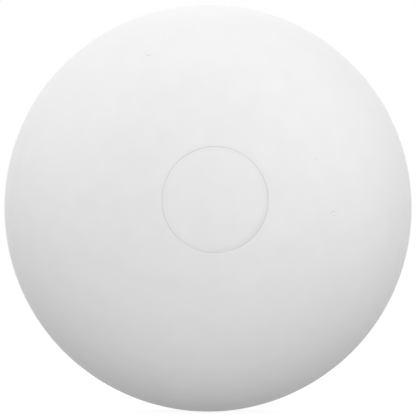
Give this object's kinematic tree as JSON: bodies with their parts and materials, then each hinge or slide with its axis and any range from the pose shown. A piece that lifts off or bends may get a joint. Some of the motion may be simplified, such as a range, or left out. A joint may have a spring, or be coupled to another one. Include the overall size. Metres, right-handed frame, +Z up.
{
  "type": "lacrosse ball",
  "caption": "Solid white rubber lacrosse ball with a fine moulded ring round one pole and a trimmed parting line round the middle, for throwing, catching and shooting with a lacrosse stick.",
  "frame": {"origin": "centre of the ball", "axes": "the mould axis runs along Y: -Y points out through the middle of the moulded ring, which faces the viewer in the picture, the parting line lies in the XZ plane, and +Z is up in the picture"},
  "size_m": [0.0634, 0.0636, 0.0634],
  "materials": {
    "white_rubber": "satin"
  },
  "bodies": {
    "root": {"ball": "white_rubber"}
  },
  "joints": []
}
